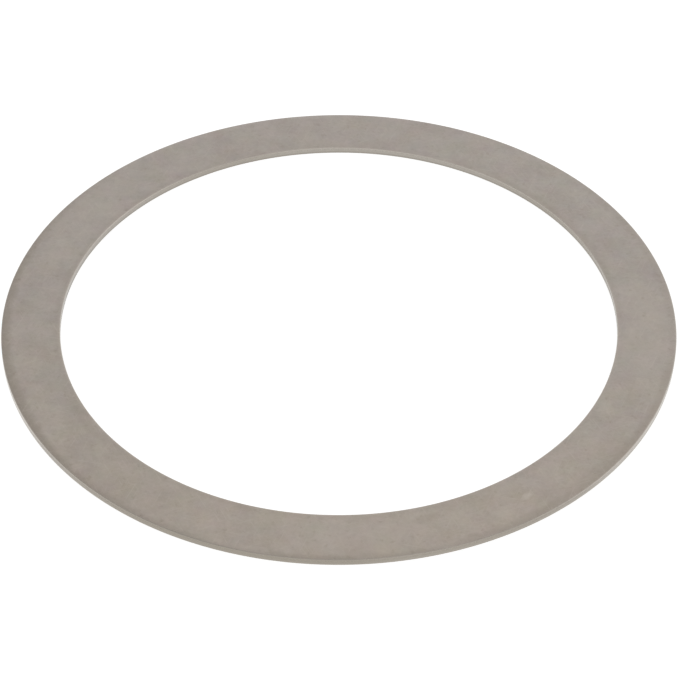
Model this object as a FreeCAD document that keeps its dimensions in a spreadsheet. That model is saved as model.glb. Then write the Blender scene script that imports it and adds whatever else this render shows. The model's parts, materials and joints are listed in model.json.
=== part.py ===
import FreeCAD, Part
import math
import os
import Sketcher

# Shim ring: a thin flat steel ring that takes up the end play between a bearing and its shoulder.
#
# It is blanked from cold rolled strip by a compound tool, which cuts the outside and the bore in
# one stroke, so both cut walls have the same form the same way up, but the outside's roll is
# twice as wide. From the upper face down, a wall has:
#   the roll, where the strip was pulled down before it was cut,
#   the corner, rounded by tumbling,
#   the land, an upright burnished band that holds the size,
#   the break, where the steel tore away from the cut and the wall leans back from the size,
#   the lower edge, rounded where the burr came off.
#
# Millimetres. The origin is the centre of the bore on the lower face, with +Z along the axis, so
# the ring lies on the plane Z = 0 with its rolled edges up.

DIMENSIONS = {
    "bore_diameter": 95.0,
    "face_width": 10.0,     # from the bore to the outside, which makes the outside 115 across
    "thickness": 1.2,
    "outer_roll_width": 1.2,  # from the wall to where the upper face starts to fall
    "outer_roll_drop": 0.06,  # how far the roll falls before the corner takes over
    "bore_roll_width": 0.6,
    "bore_roll_drop": 0.03,
    "corner_radius": 0.1,   # between the roll and the land
    "land_height": 0.4,
    "break_relief": 0.02,   # how far the break has leant back by the lower face
    "burr_radius": 0.07,    # between the break and the lower face
}

NODE = "shim_ring"
SHEET = "Dimensions"
FULL_TURN = 360
SMALL = 1e-6

# The section's edges in order, anticlockwise from the foot of the outside wall.
(OUTER_BREAK, OUTER_LAND, OUTER_CORNER, OUTER_ROLL, TOP,
 BORE_ROLL, BORE_CORNER, BORE_LAND, BORE_BREAK, BOTTOM) = range(10)
SMOOTH_JOINS = (OUTER_LAND, OUTER_CORNER, OUTER_ROLL, TOP, BORE_ROLL, BORE_CORNER)

# How the sketch counts the ends of an edge, and the radial axis with the origin at its start.
START, END = range(1, 3)
ORIGIN = (-1, START)
RADIAL_AXIS = ORIGIN[0]


def dimension_sheet(doc):
    """The spreadsheet that drives every size, with one named cell on each line."""
    sheet = doc.addObject("Spreadsheet::Sheet", SHEET)
    for line, (name, value) in enumerate(DIMENSIONS.items(), start=1):
        sheet.set(f"A{line}", name)
        sheet.set(f"B{line}", str(value))
        sheet.setAlias(f"B{line}", name)
    doc.recompute()
    return sheet


def roll_radius(run, fall, corner_radius):
    """The roll's radius, at which it leaves the upper face level and flows into the corner."""
    return (run ** 2 + fall ** 2) / (2 * fall) + corner_radius


def wall_line(sheet, side):
    """A cut wall's points from its foot up, and the centres of its corner and its roll."""
    bore = sheet.bore_diameter / 2
    wall, outwards = (bore + sheet.face_width, 1) if side == "outer" else (bore, -1)
    width, drop = getattr(sheet, f"{side}_roll_width"), getattr(sheet, f"{side}_roll_drop")
    corner = sheet.corner_radius
    top = sheet.thickness
    upright_top = top - drop - corner
    level = wall - outwards * width
    corner_centre = FreeCAD.Vector(wall - outwards * corner, upright_top)
    roll_centre = FreeCAD.Vector(level, top - roll_radius(width - corner, drop, corner))
    away = (corner_centre - roll_centre).normalize()
    points = [
        FreeCAD.Vector(wall - outwards * sheet.break_relief, 0),
        FreeCAD.Vector(wall, upright_top - sheet.land_height),
        FreeCAD.Vector(wall, upright_top),
        corner_centre + away * corner,
        FreeCAD.Vector(level, top),
    ]
    return points, corner_centre, roll_centre


def arc(centre, begin, finish):
    """The arc round a centre, anticlockwise from one point to another."""
    angles = [math.atan2(p.y - centre.y, p.x - centre.x) for p in (begin, finish)]
    circle = Part.Circle(centre, FreeCAD.Vector(0, 0, 1), centre.distanceToPoint(begin))
    return Part.ArcOfCircle(circle, *angles)


def point(sketch, place):
    """A sketch point, given as its edge and the end of that edge."""
    return FreeCAD.Vector() if place == ORIGIN else sketch.getPoint(*place)


def section_sketch(body, sheet):
    """The ring's section, in the plane of the axis, with every size tied to its cell."""
    sketch = body.newObject("Sketcher::SketchObject", "Section")
    plane = next(f for f in body.Origin.OriginFeatures if f.Role == "XZ_Plane")
    sketch.AttachmentSupport = [(plane, "")]
    sketch.MapMode = "FlatFace"

    outer, outer_corner, outer_roll = wall_line(sheet, "outer")
    bore, bore_corner, bore_roll = wall_line(sheet, "bore")
    points = outer + bore[::-1]
    centres = {
        OUTER_CORNER: outer_corner,
        OUTER_ROLL: outer_roll,
        BORE_ROLL: bore_roll,
        BORE_CORNER: bore_corner,
    }
    for edge, begin in enumerate(points):
        finish = points[(edge + 1) % len(points)]
        if edge in centres:
            sketch.addGeometry(arc(centres[edge], begin, finish))
        else:
            sketch.addGeometry(Part.LineSegment(begin, finish))

    for edge in range(len(points)):
        following = (edge + 1) % len(points)
        join = "Tangent" if edge in SMOOTH_JOINS else "Coincident"
        sketch.addConstraint(Sketcher.Constraint(join, edge, END, following, START))
    sketch.addConstraint(Sketcher.Constraint("PointOnObject", BOTTOM, START, RADIAL_AXIS))
    for edge in (TOP, BOTTOM):
        sketch.addConstraint(Sketcher.Constraint("Horizontal", edge))
    for edge in (OUTER_LAND, BORE_LAND):
        sketch.addConstraint(Sketcher.Constraint("Vertical", edge))

    # Each size: its name, its direction, the two points that it lies between, and its cell.
    across, up = "DistanceX", "DistanceY"
    sizes = [
        ("bore_radius", across, ORIGIN, (BORE_LAND, START), "bore_diameter / 2"),
        ("face_width", across, (BORE_LAND, START), (OUTER_LAND, END), "face_width"),
        ("thickness", up, ORIGIN, (TOP, START), "thickness"),
        ("outer_roll_width", across, (TOP, START), (OUTER_LAND, END), "outer_roll_width"),
        ("bore_roll_width", across, (BORE_LAND, START), (TOP, END), "bore_roll_width"),
        ("outer_land_depth", up, (OUTER_LAND, END), (TOP, START),
         f"outer_roll_drop + {SHEET}.corner_radius"),
        ("bore_land_depth", up, (BORE_LAND, START), (TOP, END),
         f"bore_roll_drop + {SHEET}.corner_radius"),
        ("outer_land_height", up, (OUTER_LAND, START), (OUTER_LAND, END), "land_height"),
        ("bore_land_height", up, (BORE_LAND, END), (BORE_LAND, START), "land_height"),
        ("outer_break_relief", across, (OUTER_BREAK, START), (OUTER_BREAK, END), "break_relief"),
        ("bore_break_relief", across, (BORE_BREAK, START), (BORE_BREAK, END), "break_relief"),
    ]
    for name, direction, low, high, cell in sizes:
        span = point(sketch, high) - point(sketch, low)
        length = span.x if direction == across else span.y
        constraint = Sketcher.Constraint(direction, *low, *high, length)
        tie_to_cell(sketch, sketch.addConstraint(constraint), name, cell)
    for name, edge in (("outer_corner_radius", OUTER_CORNER), ("bore_corner_radius", BORE_CORNER)):
        constraint = Sketcher.Constraint("Radius", edge, sheet.corner_radius)
        tie_to_cell(sketch, sketch.addConstraint(constraint), name, "corner_radius")
    return sketch


def tie_to_cell(sketch, number, name, cell):
    """Names a sketch size and drives it from the spreadsheet."""
    sketch.renameConstraint(number, name)
    sketch.setExpression(f"Constraints.{name}", f"{SHEET}.{cell}")


def round_edges(feature, radius, height):
    """The names of a feature's full round edges of this radius at this height."""
    return [
        f"Edge{number}"
        for number, edge in enumerate(feature.Shape.Edges, start=1)
        if isinstance(edge.Curve, Part.Circle)
        and edge.isClosed()
        and abs(edge.Curve.Radius - radius) < SMALL
        and abs(edge.Curve.Center.z - height) < SMALL
    ]


def shim_ring(doc, sheet):
    """The whole ring, one solid: its section turned once round the axis, then deburred."""
    body = doc.addObject("PartDesign::Body", "ShimRing")
    body.Label = NODE
    body.Placement = FreeCAD.Placement()

    sketch = section_sketch(body, sheet)
    blank = body.newObject("PartDesign::Revolution", "Blank")
    blank.Profile = sketch
    blank.ReferenceAxis = (sketch, ["V_Axis"])
    blank.Angle = FULL_TURN
    doc.recompute()

    feet = [wall_line(sheet, side)[0][0].x for side in ("outer", "bore")]
    burrs = [edge for radius in feet for edge in round_edges(blank, radius, 0)]
    if len(burrs) != len(feet):
        raise RuntimeError(f"{len(burrs)} lower edges found, not {len(feet)}")
    deburred = body.newObject("PartDesign::Fillet", "DeburredEdges")
    deburred.Base = (blank, burrs)
    deburred.setExpression("Radius", f"{SHEET}.burr_radius")
    body.Tip = deburred
    return body


def check_document(doc, pieces):
    """Stops before anything is written if a feature failed or a piece isn't one sound solid."""
    for item in doc.Objects:
        if "Invalid" in item.State or "Error" in item.State:
            raise RuntimeError(f"{item.Label} did not compute: {item.State}")
        if item.isDerivedFrom("Sketcher::SketchObject") and not item.FullyConstrained:
            raise RuntimeError(f"{item.Label} is not fully constrained")
    for piece in pieces:
        shape = piece.Shape
        if shape.isNull() or not shape.isValid() or len(shape.Solids) != 1:
            raise RuntimeError(f"{piece.Label} is not one valid solid")


def write_pieces(pieces):
    """Writes one STEP file for each piece, named for its label."""
    os.makedirs("parts", exist_ok=True)
    for piece in pieces:
        piece.Shape.exportStep(f"parts/{piece.Label}.step")
        box = piece.Shape.optimalBoundingBox()
        print(f"{piece.Label}: {box.XLength:.3f} x {box.YLength:.3f} x {box.ZLength:.3f} mm, "
              f"{piece.Shape.Volume:.2f} mm3")


def main():
    doc = FreeCAD.newDocument("ShimRing")
    pieces = [shim_ring(doc, dimension_sheet(doc))]
    doc.recompute()
    check_document(doc, pieces)
    write_pieces(pieces)


main()
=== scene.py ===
import json
import math

import bpy
from mathutils import Matrix, Vector


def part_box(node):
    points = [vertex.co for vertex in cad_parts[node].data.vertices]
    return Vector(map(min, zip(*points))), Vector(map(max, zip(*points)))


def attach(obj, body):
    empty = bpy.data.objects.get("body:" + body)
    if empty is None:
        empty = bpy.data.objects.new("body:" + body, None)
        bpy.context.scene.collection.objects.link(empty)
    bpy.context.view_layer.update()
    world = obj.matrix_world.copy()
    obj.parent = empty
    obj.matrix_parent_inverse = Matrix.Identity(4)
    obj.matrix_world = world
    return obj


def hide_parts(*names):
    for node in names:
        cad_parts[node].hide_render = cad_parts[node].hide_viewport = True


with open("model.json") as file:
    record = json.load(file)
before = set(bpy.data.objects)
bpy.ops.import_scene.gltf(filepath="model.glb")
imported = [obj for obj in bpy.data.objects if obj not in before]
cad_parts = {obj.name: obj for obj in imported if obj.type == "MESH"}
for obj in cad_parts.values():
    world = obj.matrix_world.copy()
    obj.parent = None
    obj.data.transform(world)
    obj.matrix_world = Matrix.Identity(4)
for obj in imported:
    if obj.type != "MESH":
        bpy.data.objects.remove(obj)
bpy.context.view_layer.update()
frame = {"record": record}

# A shim ring blanked from cold rolled spring steel strip and then tumbled, so its flat faces are
# dull satin. It lies on a pale studio floor with its rolled edges up.

MM = 0.001
FULL_TURN = 2 * math.pi

# The walls and the thickness, in millimetres, from the record and the solid. The rim is the
# outside wall, and the mount on each wall is as high as its land.
MOUNTS = {mount["name"]: mount for mount in frame["record"]["mounts"]}
RADIUS = {side: MOUNTS[side]["dims"]["r_mm"] for side in ("rim", "bore")}
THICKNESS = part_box("shim_ring")[1].z / MM

# The forms of the two cut walls, in millimetres, as the solid has them.
ROLL_WIDTH = {"rim": 1.2, "bore": 0.6}      # from the wall to where the upper face starts to fall
CORNER_RADIUS = 0.1     # between the roll and the land
BREAK_RELIEF = 0.02     # how far the break has leant back by the lower face
BURR_RADIUS = 0.07      # between the break and the lower face

# Where the steel tore, the lower edge of the land wanders up and down by this much at most, in
# waves of so many to the turn, each with its share.
TEAR_WANDER = 0.045
TEAR_WAVES = ((5, 0.9), (13, 0.7), (31, 0.6), (67, 0.5), (149, 0.45), (211, 0.3))
TEAR_PHASE = {"rim": 0.4, "bore": 1.7}

# How finely the skin is divided, round the full turn and along each form of a wall.
SPOKES = 960
BURR_STEPS = 6
BREAK_STEPS = 4
LAND_STEPS = 2
CORNER_STEPS = 8
ROLL_STEPS = 10

# Directions in a wall's section, in degrees from straight into the steel.
UP, OUT, DOWN = 90, 180, 270

# Material slots of the ring, in the order in which they are added.
FACE, LAND, BREAK = range(3)


def arc(centre, radius, begin, end, steps):
    """Points round a centre from one angle to another, in degrees, without the first one."""
    points = []
    for step in range(1, steps + 1):
        angle = math.radians(begin + (end - begin) * step / steps)
        points.append((centre[0] + radius * math.cos(angle), centre[1] + radius * math.sin(angle)))
    return points


def line(begin, end, steps):
    """Points along a straight line, without the first one."""
    return [
        tuple(start + (finish - start) * step / steps for start, finish in zip(begin, end))
        for step in range(1, steps + 1)
    ]


def tear_line(turn, phase):
    """How far the tear has wandered from the land's lower edge at this place round the ring."""
    height = sum(size * math.sin(count * (turn + phase)) for count, size in TEAR_WAVES)
    return TEAR_WANDER * height / sum(size for count, size in TEAR_WAVES)


def wall_section(side, turn):
    """A cut wall from its foot to the upper face, as (depth into the steel, height, slot)."""
    land_height = MOUNTS[side]["dims"]["length_mm"]
    land_top = MOUNTS[side]["pos_m"][2] / MM + land_height / 2
    tear = (0.0, land_top - land_height + tear_line(turn, TEAR_PHASE[side]))
    lean = math.degrees(math.atan2(BREAK_RELIEF, land_top - land_height))
    burr_centre = (BREAK_RELIEF + BURR_RADIUS, BURR_RADIUS)
    section = [(burr_centre[0], 0.0, BREAK)]

    burr = arc(burr_centre, BURR_RADIUS, DOWN, OUT - lean, BURR_STEPS)
    section += [(*place, BREAK) for place in burr]
    section += [(*place, BREAK) for place in line(burr[-1], tear, BREAK_STEPS)]
    section += [(*place, LAND) for place in line(tear, (0.0, land_top), LAND_STEPS)]

    # The roll leaves the upper face level and flows into the corner.
    run = ROLL_WIDTH[side] - CORNER_RADIUS
    fall = THICKNESS - land_top - CORNER_RADIUS
    roll_radius = (run ** 2 + fall ** 2) / (2 * fall) + CORNER_RADIUS
    roll_start = UP + math.degrees(math.atan2(run, roll_radius - CORNER_RADIUS - fall))
    corner = arc((CORNER_RADIUS, land_top), CORNER_RADIUS, OUT, roll_start, CORNER_STEPS)
    section += [(*place, FACE) for place in corner]
    roll_centre = (ROLL_WIDTH[side], THICKNESS - roll_radius)
    roll = arc(roll_centre, roll_radius, roll_start, UP, ROLL_STEPS)
    section += [(*place, FACE) for place in roll]
    return section


def ring_section(turn):
    """The whole section round the steel, as (radius, height, slot), from the rim's foot up."""
    rim = [(RADIUS["rim"] - depth, *rest) for depth, *rest in wall_section("rim", turn)]
    bore = [(RADIUS["bore"] + depth, *rest) for depth, *rest in wall_section("bore", turn)]
    return rim + bore[::-1]


def strip_slots(section):
    """The slot of each strip of the skin: its upper edge's, and FACE where it lies flat."""
    slots = []
    for here, following in zip(section, section[1:] + section[:1]):
        upper = max(here, following, key=lambda point: point[1])
        slots.append(FACE if here[1] == following[1] else upper[2])
    return slots


def ring_mesh():
    """The ring as one closed skin: its section carried once round the axis."""
    corners, faces = [], []
    for spoke in range(SPOKES):
        turn = FULL_TURN * spoke / SPOKES
        section = ring_section(turn)
        x, y = math.cos(turn), math.sin(turn)
        for radius, height, _ in section:
            corners.append((radius * x * MM, radius * y * MM, height * MM))
    count = len(section)
    for spoke in range(SPOKES):
        here, there = spoke * count, (spoke + 1) % SPOKES * count
        for place in range(count):
            following = (place + 1) % count
            faces.append((here + place, there + place, there + following, here + following))
    mesh = bpy.data.meshes.new("shim_ring_blanked")
    mesh.from_pydata(corners, [], faces)
    mesh.polygons.foreach_set("material_index", strip_slots(section) * SPOKES)
    mesh.polygons.foreach_set("use_smooth", [True] * len(faces))
    mesh.validate()
    return mesh


def add_object(name, data):
    """An object in the scene, with this mesh, lamp or camera."""
    thing = bpy.data.objects.new(name, data)
    bpy.context.scene.collection.objects.link(thing)
    return thing


def srgb(code):
    """A hex colour as the linear colour that a shader takes."""
    linear = []
    for place in (1, 3, 5):
        part = int(code[place:place + 2], 16) / 255
        linear.append(part / 12.92 if part <= 0.04045 else ((part + 0.055) / 1.055) ** 2.4)
    return (*linear, 1.0)


def add(tree, kind, inputs=None, **settings):
    """Adds a node with its settings, and sets each input to a value or links it to an output.

    A node given as an input stands for the first of its outputs that is in use.
    """
    node = tree.nodes.new(f"ShaderNode{kind}")
    for name, value in settings.items():
        setattr(node, name, value)
    for name, value in (inputs or {}).items():
        if isinstance(value, bpy.types.Node):
            value = next(output for output in value.outputs if output.enabled)
        if isinstance(value, bpy.types.NodeSocket):
            tree.links.new(value, node.inputs[name])
        else:
            node.inputs[name].default_value = value
    return node


# The inputs of a Mix node that take its two colours.
COLOUR_A, COLOUR_B = 6, 7

# The range that most of a noise's values lie in.
NOISE_RANGE = {"From Min": 0.3, "From Max": 0.7}


def new_material(name):
    """A material with its tree, and the place on the piece that its patterns follow."""
    material = bpy.data.materials.new(name)
    material.use_nodes = True
    tree = material.node_tree
    tree.nodes.clear()
    return material, tree, add(tree, "TexCoord").outputs["Object"]


def per_size(millimetres):
    """The texture scale at which one feature of a pattern is this long."""
    return 1 / (millimetres * MM)


def tint(tree, colour, layers):
    """Lays tints over a colour in turn, each as strong as the pattern given with it."""
    for pattern, code in layers:
        settings = {"Factor": pattern, COLOUR_A: colour, COLOUR_B: srgb(code)}
        colour = add(tree, "Mix", settings, data_type="RGBA")
    return colour


def steel_surface(tree, colour, roughness, relief, height):
    """Finishes a bare steel, given how high its relief is in millimetres."""
    bump = add(tree, "Bump", {"Height": relief, "Strength": 1.0, "Distance": height * MM})
    settings = {"Base Color": colour, "Metallic": 1.0, "Roughness": roughness, "Normal": bump}
    shader = add(tree, "BsdfPrincipled", settings)
    add(tree, "OutputMaterial", {"Surface": shader})


def radius_of(tree, place):
    """How far a place is from the axis."""
    level = add(tree, "VectorMath", {0: place, 1: (1, 1, 0)}, operation="MULTIPLY")
    return add(tree, "VectorMath", {0: level}, operation="LENGTH")


def nearness_to_walls(tree, place, reach):
    """How near a place is to the rim or the bore, from 0 at its reach in millimetres to 1 at it."""
    radius = radius_of(tree, place)
    shares = []
    for side, width in reach.items():
        wall = RADIUS[side]
        start = wall - width if side == "rim" else wall + width
        settings = {"Value": radius, "From Min": start * MM, "From Max": wall * MM}
        shares.append(add(tree, "MapRange", settings))
    return add(tree, "Math", dict(enumerate(shares)), operation="MAXIMUM")


MARK_FADE = 0.6     # how much of the way from a mark's edge to its middle it takes to be full


def mark(tree, place, bearing, radius, length, width):
    """A soft patch that follows the ring, full at its middle.

    Its bearing is in degrees from +X. Its radius is from the axis, and that, its length along the
    ring and its width are in millimetres.
    """
    turned = add(tree, "Mapping", {"Vector": place, "Rotation": (0, 0, -math.radians(bearing))})
    ways = add(tree, "SeparateXYZ", {"Vector": turned}).outputs
    angle = add(tree, "Math", {0: ways["Y"], 1: ways["X"]}, operation="ARCTAN2")
    along = add(tree, "Math", {0: angle, 1: 2 * radius / length}, operation="MULTIPLY")
    out = add(tree, "Math", {0: radius_of(tree, place), 1: radius * MM}, operation="SUBTRACT")
    across = add(tree, "Math", {0: out, 1: per_size(width / 2)}, operation="MULTIPLY")
    local = add(tree, "CombineXYZ", {"X": along, "Y": across})
    ball = add(tree, "TexGradient", {"Vector": local}, gradient_type="SPHERICAL").outputs["Fac"]
    return add(tree, "MapRange", {"Value": ball, "From Max": MARK_FADE})


def marks(tree, place, patches):
    """Several soft patches together, each with its own strength last."""
    together = None
    for *where, strength in patches:
        patch = mark(tree, place, *where)
        patch = add(tree, "Math", {0: patch, 1: strength}, operation="MULTIPLY")
        if together is not None:
            patch = add(tree, "Math", {0: together, 1: patch}, operation="MAXIMUM")
        together = patch
    return together


# Marks on the upper face: bearing in degrees, radius, length and width in millimetres, strength.
# The long ones at radii 57.2 and 57.4, along the rim's rolled edge, and the broad one at -135 are
# painted shade; the rest are smudges.
SMUDGES_AND_SHADE = (
    (-168, 57.2, 124, 3.2, 0.6),
    (-90, 57.4, 44, 2.6, 0.25),
    (-40, 57.2, 86, 3.2, 0.5),
    (15, 57.2, 70, 3.2, 0.28),
    (180, 47.6, 290, 2.8, 0.2),
    (-74, 50.4, 6, 2.4, 0.35),
    (-68, 56.4, 3, 1.4, 0.4),
    (-42, 56.0, 22, 2.4, 0.3),
    (-148, 49.0, 24, 2.6, 0.3),
    (-135, 52.5, 30, 12, 0.1),
    (30, 47.8, 60, 3.0, 0.28),
)
RUBBED_SPOTS = (
    (-55, 52.8, 3.0, 1.6, 0.8),
    (-61, 54.0, 5.0, 3.0, 0.3),
    (-86, 52.5, 32, 10, 0.25),
    (-4, 52.5, 36, 12, 0.25),
    (152, 52.5, 30, 12, 0.25),
    (-105, 57.0, 9, 2.0, 0.4),
)
WARM_FILM = (
    (-95, 52.5, 190, 22, 0.9),
)
# Marks on the two cut walls, with the same numbers. The darker ones on the rim, at its front, are
# painted shade, and those in the bore are where it was handled. The lighter ones, on the rim to
# either side, are a painted reflection of the white floor.
WALL_SHADE_AND_HANDLING = (
    (-106, 57.5, 90, 10, 0.44),
    (-72, 57.5, 66, 10, 0.3),
    (28, 47.5, 50, 8, 0.16),
    (118, 47.5, 30, 8, 0.14),
)
PAINTED_WALL_REFLECTION = (
    (-18, 57.5, 60, 10, 0.6),
    (-166, 57.5, 40, 10, 0.8),
)


def wall_tints(tree, place):
    """The marks on the cut walls, each kind with its tint: painted shade with handling marks, and a
    painted reflection.
    """
    return (
        (marks(tree, place, WALL_SHADE_AND_HANDLING), "#8E8576"),
        (marks(tree, place, PAINTED_WALL_REFLECTION), "#C2BCB4"),
    )


# The sizes of the tumbled face's patterns, in millimetres.
CLOUD_SIZE = 4.6
GRAIN_SIZE = 0.5
SPECK_SIZE = 1.1
GLOSS_SIZE = 1.2
SWELL_SIZE = 4.0
HUE_SIZE = 4.0
DRIFT_SIZE = 2.0
DRIFT_REACH = 1.6       # how far the outlines of the marks wander from side to side, at most
WORN_REACH = {"rim": 0.2, "bore": 0.2}      # how far in the tumbling has worn the corners bright

# Scratches from the tumbler: direction in degrees and length in millimetres. Real ones are about
# 0.02 mm wide, too fine to show, so these are drawn ten times as wide.
SCRATCHES = ((14, 7.0), (63, 4.5), (112, 6.0), (158, 5.0))
SCRATCH_WIDTH = 0.2

# The relief of the face, in millimetres: the swell that the mill's rolls left, the grain, and the
# depth of the scratches.
SWELL_HEIGHT = 0.004
GRAIN_HEIGHT = 0.001
SCRATCH_DEPTH = 0.0006

GRAIN_SHARE = 0.35          # of the tone, and the clouds have the rest
HUE_SHARE = 0.02            # how far the oxide shifts the colour
STAIN_STRENGTH = 0.25       # of the small stains that lie everywhere
SMUDGE_STAINS = 0.5         # how much stronger they are on a full smudge
SCRATCH_STRENGTH = 0.25

# How much less rough the scratches and the rolled edges are than the rest.
SCRATCH_GLOSS = 0.04
ROLL_GLOSS = 0.06


def scratches(tree, place):
    """Short fine lines in several directions, from the parts rubbing together in the tumbler."""
    lines = None
    for direction, length in SCRATCHES:
        rotation = (0, 0, math.radians(direction))
        turned = add(tree, "Mapping", {"Vector": place, "Rotation": rotation})
        scale = (per_size(length), per_size(SCRATCH_WIDTH), per_size(SCRATCH_WIDTH))
        where = add(tree, "Mapping", {"Vector": turned, "Scale": scale})
        pattern = add(tree, "TexNoise", {"Vector": where, "Scale": 1.0, "Detail": 1.0})
        scratch = add(tree, "MapRange", {"Value": pattern, "From Min": 0.64, "From Max": 0.74})
        if lines is not None:
            scratch = add(tree, "Math", {0: lines, 1: scratch}, operation="MAXIMUM")
        lines = scratch
    return lines


def drifted(tree, place):
    """A place moved a little, this way and that, so that the marks' outlines wander."""
    cloud = add(tree, "TexNoise", {"Vector": place, "Scale": per_size(DRIFT_SIZE), "Detail": 3.0})
    middle = (0.5, 0.5, 0.5)
    away = add(tree, "VectorMath", {0: cloud.outputs["Color"], 1: middle}, operation="SUBTRACT")
    away = add(tree, "VectorMath", {0: away, "Scale": DRIFT_REACH * MM}, operation="SCALE")
    return add(tree, "VectorMath", {0: place, 1: away}, operation="ADD")


def tumbled_strip():
    """Cold rolled spring steel strip, tumbled: a dull satin grey, warm from a film of oil.

    The eye gets a soft broad gloss with cloudy patches, fine scratches and a few faint smudges, and
    painted shade darkens the rim's rolled edge and part of the face on the left. Along the rolled
    edges, where the parts rubbed together most, it is smoother, and the corners themselves are worn
    bright, though painted shade darkens the rim's corner at its front.
    """
    material, tree, place = new_material("tumbled_cold_rolled_steel")

    settings = {"Vector": place, "Scale": per_size(CLOUD_SIZE), "Detail": 5.0, "Roughness": 0.6}
    clouds = add(tree, "TexNoise", settings)
    settings = {"Vector": place, "Scale": per_size(GRAIN_SIZE), "Detail": 2.0, "Roughness": 0.6}
    grain = add(tree, "TexNoise", settings)
    tone = add(tree, "Mix", {"Factor": GRAIN_SHARE, "A": clouds, "B": grain})
    tone = add(tree, "MapRange", {"Value": tone, "From Min": 0.37, "From Max": 0.63})

    moved = drifted(tree, place)
    film = marks(tree, moved, WARM_FILM)
    darker = tint(tree, srgb("#A29A93"), [(film, "#A79D93")])
    lighter = tint(tree, srgb("#ABA39C"), [(film, "#B0A69C")])
    settings = {"Factor": tone, COLOUR_A: darker, COLOUR_B: lighter}
    colour = add(tree, "Mix", settings, data_type="RGBA")

    # A breath of oxide gives each patch of a few millimetres its own hue, by a hundredth or two.
    settings = {"Vector": place, "Scale": per_size(HUE_SIZE), "Detail": 4.0, "Roughness": 0.6}
    hues = add(tree, "TexNoise", settings)
    settings = {"Factor": HUE_SHARE, COLOUR_A: colour, COLOUR_B: hues.outputs["Color"]}
    colour = add(tree, "Mix", settings, data_type="RGBA", blend_type="LINEAR_LIGHT")

    # Small stains lie everywhere, and are stronger on the smudges and on the painted shade among
    # them.
    smudges_and_shade = marks(tree, moved, SMUDGES_AND_SHADE)
    settings = {0: smudges_and_shade, 1: SMUDGE_STAINS, 2: STAIN_STRENGTH}
    strength = add(tree, "Math", settings, operation="MULTIPLY_ADD")
    settings = {"Vector": place, "Scale": per_size(SPECK_SIZE), "Detail": 3.0}
    specks = add(tree, "TexNoise", settings)
    specks = add(tree, "MapRange", {"Value": specks, "From Min": 0.6, "From Max": 0.76})
    specks = add(tree, "Math", {0: specks, 1: strength}, operation="MULTIPLY")

    lines = scratches(tree, place)
    worn = nearness_to_walls(tree, place, WORN_REACH)
    # The wall marks darken the worn corners too: painted shade at the front of the rim, handling in
    # the bore.
    shade_and_handling = marks(tree, place, WALL_SHADE_AND_HANDLING)
    # The smudges' dark tint is also the painted shade along the rim's rolled edge and on the left.
    layers = (
        (marks(tree, moved, RUBBED_SPOTS), "#B5ACA2"),
        (smudges_and_shade, "#968D82"),
        (specks, "#857B6F"),
        (add(tree, "Math", {0: lines, 1: SCRATCH_STRENGTH}, operation="MULTIPLY"), "#BBB3A9"),
        (worn, "#BFB8AF"),
        (add(tree, "Math", {0: shade_and_handling, 1: worn}, operation="MULTIPLY"), "#6A6257"),
    )
    colour = tint(tree, colour, layers)

    settings = {"Vector": place, "Scale": per_size(GLOSS_SIZE), "Detail": 3.0}
    patches = add(tree, "TexNoise", settings)
    settings = {"Value": patches, **NOISE_RANGE, "To Min": 0.35, "To Max": 0.43}
    roughness = add(tree, "MapRange", settings)
    rolls = nearness_to_walls(tree, place, ROLL_WIDTH)
    for pattern, gloss in ((lines, SCRATCH_GLOSS), (rolls, ROLL_GLOSS)):
        settings = {0: pattern, 1: -gloss, 2: roughness}
        roughness = add(tree, "Math", settings, operation="MULTIPLY_ADD")

    # The relief is worked out in heights of the grain.
    swell = add(tree, "TexNoise", {"Vector": place, "Scale": per_size(SWELL_SIZE)})
    settings = {0: swell, 1: SWELL_HEIGHT / GRAIN_HEIGHT, 2: grain}
    relief = add(tree, "Math", settings, operation="MULTIPLY_ADD")
    settings = {0: lines, 1: -SCRATCH_DEPTH / GRAIN_HEIGHT, 2: relief}
    relief = add(tree, "Math", settings, operation="MULTIPLY_ADD")
    steel_surface(tree, colour, roughness, relief, GRAIN_HEIGHT)
    return material


# The drag lines on the lands, in millimetres. Real ones are about 0.03 mm wide, too fine to show,
# so these are drawn five times as wide.
DRAG_WIDTH = 0.15
DRAG_LENGTH = 1.5
DRAG_HEIGHT = 0.003


def burnished_land():
    """The same steel rubbed bright by the die as the blank slid past it.

    The eye gets a smoother, lighter band with upright drag lines, and a few long soft marks of
    painted shade, handling and painted reflection.
    """
    material, tree, place = new_material("die_burnished_steel")
    scale = (per_size(DRAG_WIDTH), per_size(DRAG_WIDTH), per_size(DRAG_LENGTH))
    where = add(tree, "Mapping", {"Vector": place, "Scale": scale})
    drag = add(tree, "TexNoise", {"Vector": where, "Scale": 1.0, "Detail": 3.0})
    bright = add(tree, "MapRange", {"Value": drag, **NOISE_RANGE})
    layers = ((bright, "#AAA49C"), *wall_tints(tree, place))
    colour = tint(tree, srgb("#A09A92"), layers)
    settings = {"Value": drag, **NOISE_RANGE, "To Min": 0.2, "To Max": 0.28}
    roughness = add(tree, "MapRange", settings)
    steel_surface(tree, colour, roughness, drag, DRAG_HEIGHT)
    return material


# The pits of the tear, in millimetres. Real ones are about 0.05 mm across, too fine to show, so
# these are drawn more than twice as wide.
PIT_SIZE = 0.12
PIT_DEPTH = 0.01

FOOT_HEIGHT = 0.6       # how far up from the lower face the foot of a wall reaches
MIDDLE_RADIUS = sum(RADIUS.values()) / 2


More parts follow.
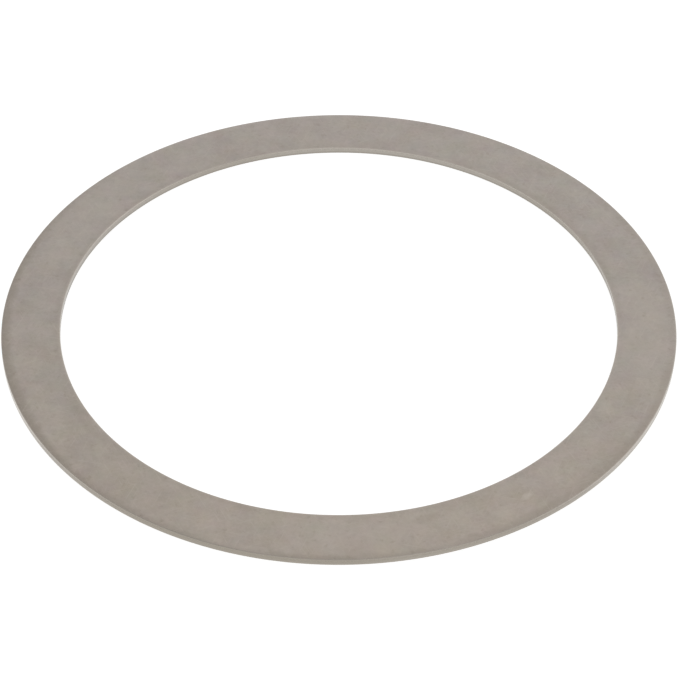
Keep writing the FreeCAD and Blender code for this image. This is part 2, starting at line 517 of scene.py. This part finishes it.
def torn_break():
    """The same steel where it tore instead of being cut, its burrs taken off by tumbling.

    The eye gets a dull, finely pitted band. Its foot is painted lighter on the rim, as a reflection
    of the white floor, and painted darker in the bore, as shade.
    """
    material, tree, place = new_material("torn_steel_break")
    settings = {"Vector": place, "Scale": per_size(PIT_SIZE), "Detail": 4.0, "Roughness": 0.7}
    pits = add(tree, "TexNoise", settings)
    bright = add(tree, "MapRange", {"Value": pits, "From Min": 0.35, "From Max": 0.65})

    # Towards its foot the rim is painted lighter, as a reflection of the white floor, and the bore
    # darker, as shade.
    # On the rim the bore's foot comes out at zero or less, and a tint takes that as none.
    height = add(tree, "SeparateXYZ", {"Vector": place}).outputs["Z"]
    foot = add(tree, "MapRange", {"Value": height, "From Min": FOOT_HEIGHT * MM, "From Max": 0.0})
    settings = {0: radius_of(tree, place), 1: MIDDLE_RADIUS * MM}
    on_rim = add(tree, "Math", settings, operation="GREATER_THAN")
    rim_foot_painted_reflection = add(tree, "Math", {0: foot, 1: on_rim}, operation="MULTIPLY")
    bore_foot_painted_shade = add(tree, "Math", {0: foot, 1: on_rim}, operation="SUBTRACT")
    layers = (
        (bright, "#B3ADA5"),
        (rim_foot_painted_reflection, "#B8B2AA"),
        (bore_foot_painted_shade, "#989289"),
        *wall_tints(tree, place),
    )
    colour = tint(tree, srgb("#A6A099"), layers)
    settings = {"Value": pits, **NOISE_RANGE, "To Min": 0.38, "To Max": 0.48}
    roughness = add(tree, "MapRange", settings)
    steel_surface(tree, colour, roughness, pits, PIT_DEPTH)
    return material


def make_ring():
    """The one piece, in its three finishes."""
    mesh = ring_mesh()
    for finish in (tumbled_strip(), burnished_land(), torn_break()):
        mesh.materials.append(finish)
    ring = add_object("shim_ring_blanked", mesh)
    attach(ring, "root")
    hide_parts("shim_ring")


# The floor lies just clear of the ring's lower face, so the two never share one plane.
FLOOR_SIDE = 6.0
FLOOR_GAP = 0.005 * MM
FLOOR_GLOW = 0.76
FIBRE_SIZE = 0.4        # millimetres


def make_floor():
    """A white card floor.

    A share of its white comes from its own glow, which keeps it plain white to the camera and in
    the steel while the ring's soft shadow still falls on it.
    """
    material, tree, place = new_material("white_card")
    fibres = add(tree, "TexNoise", {"Vector": place, "Scale": per_size(FIBRE_SIZE)})
    card = add(tree, "BsdfDiffuse", {"Color": tint(tree, srgb("#B4B4B4"), [(fibres, "#B8B8B8")])})

    rays = add(tree, "LightPath").outputs
    settings = {0: rays["Is Camera Ray"], 1: rays["Is Glossy Ray"]}
    seen = add(tree, "Math", settings, operation="MAXIMUM")
    seen = add(tree, "Math", {0: seen, 1: rays["Is Transmission Ray"]}, operation="MAXIMUM")
    strength = add(tree, "Math", {0: seen, 1: FLOOR_GLOW}, operation="MULTIPLY")
    glow = add(tree, "Emission", {"Strength": strength})
    add(tree, "OutputMaterial", {"Surface": add(tree, "AddShader", {0: card, 1: glow})})

    half = FLOOR_SIDE / 2
    corners = [(-half, -half), (half, -half), (half, half), (-half, half)]
    mesh = bpy.data.meshes.new("floor")
    mesh.from_pydata([(x, y, -FLOOR_GAP) for x, y in corners], [], [(0, 1, 2, 3)])
    mesh.materials.append(material)
    floor = add_object("floor", mesh)


# The studio: white down at the horizon, and a plain grey from the walls to the ceiling.
HORIZON_LIGHT = 1.0
ROOM_LIGHT = 0.55
LIGHT_EDGE = (8, 18)    # degrees above the horizon between which the one turns into the other

# The softboxes, each with its bearing (0 is away from the camera and 90 to its right), its height
# above the floor in degrees, its distance and sides in metres, and how much light its cloth adds.
SOFTBOXES = {
    "softbox_behind": (17, 40, 1.5, 1.7, 1.05, 0.47),
    "softbox_right": (95, 20, 1.2, 1.2, 0.8, 0.6),
    "softbox_left": (-95, 20, 1.2, 1.2, 0.8, 0.6),
    "softbox_front": (180, 34, 1.5, 1.5, 0.9, 0.36),
    "softbox_overhead": (0, 90, 1.4, 1.0, 1.0, 0.4),
}


def light_the_studio():
    """Soft white light from all round, with the softboxes in it."""
    world = bpy.data.worlds.new("studio")
    world.use_nodes = True
    tree = world.node_tree
    tree.nodes.clear()
    direction = add(tree, "TexCoord").outputs["Generated"]
    upward = add(tree, "SeparateXYZ", {"Vector": direction}).outputs["Z"]
    low, high = (math.sin(math.radians(angle)) for angle in LIGHT_EDGE)
    settings = {"Value": upward, "From Min": low, "From Max": high}
    settings |= {"To Min": HORIZON_LIGHT, "To Max": ROOM_LIGHT}
    strength = add(tree, "MapRange", settings)
    sky = add(tree, "Background", {"Color": srgb("#FFFFFF"), "Strength": strength})
    add(tree, "OutputWorld", {"Surface": sky})
    bpy.context.scene.world = world

    for name, (bearing, rise, distance, width, height, level) in SOFTBOXES.items():
        bearing, rise = math.radians(bearing), math.radians(rise)
        away = Vector((
            math.sin(bearing) * math.cos(rise),
            math.cos(bearing) * math.cos(rise),
            math.sin(rise),
        ))
        lamp = bpy.data.lights.new(name, "AREA")
        lamp.shape = "RECTANGLE"
        lamp.size, lamp.size_y = width, height
        lamp.energy = level * math.pi * width * height
        softbox = add_object(name, lamp)
        softbox.location = away * distance
        softbox.rotation_mode = "QUATERNION"
        softbox.rotation_quaternion = away.to_track_quat("Z", "Y")


# The camera, fitted to the outlines of both circles in the photograph, with its angles in degrees
# and its lens and sensor in millimetres.
CAMERA_ELEVATION = 41.4637
CAMERA_ROLL = -0.0710
CAMERA_DISTANCE = 504.15 * MM
CAMERA_TARGET = Vector((0.201, -4.260, 0)) * MM
LENS = 156.973
SENSOR = 36


def place_camera():
    """The camera, in front of the ring and above it, looking down at the target."""
    elevation, roll = math.radians(CAMERA_ELEVATION), math.radians(CAMERA_ROLL)
    back = Vector((0, -math.cos(elevation), math.sin(elevation)))
    right = Vector((1, 0, 0))
    up = back.cross(right)
    turned_right = right * math.cos(roll) + up * math.sin(roll)
    turned_up = up * math.cos(roll) - right * math.sin(roll)
    pose = Matrix((turned_right, turned_up, back)).transposed().to_4x4()
    pose.translation = CAMERA_TARGET + back * CAMERA_DISTANCE
    camera = add_object("camera", bpy.data.cameras.new("camera"))
    camera.data.lens = LENS
    camera.data.sensor_width = SENSOR
    camera.data.clip_start = 10 * MM
    camera.data.clip_end = 20
    camera.matrix_world = pose
    bpy.context.scene.camera = camera


make_ring()
make_floor()
light_the_studio()
place_camera()
bpy.context.scene.view_settings.view_transform = "Standard"
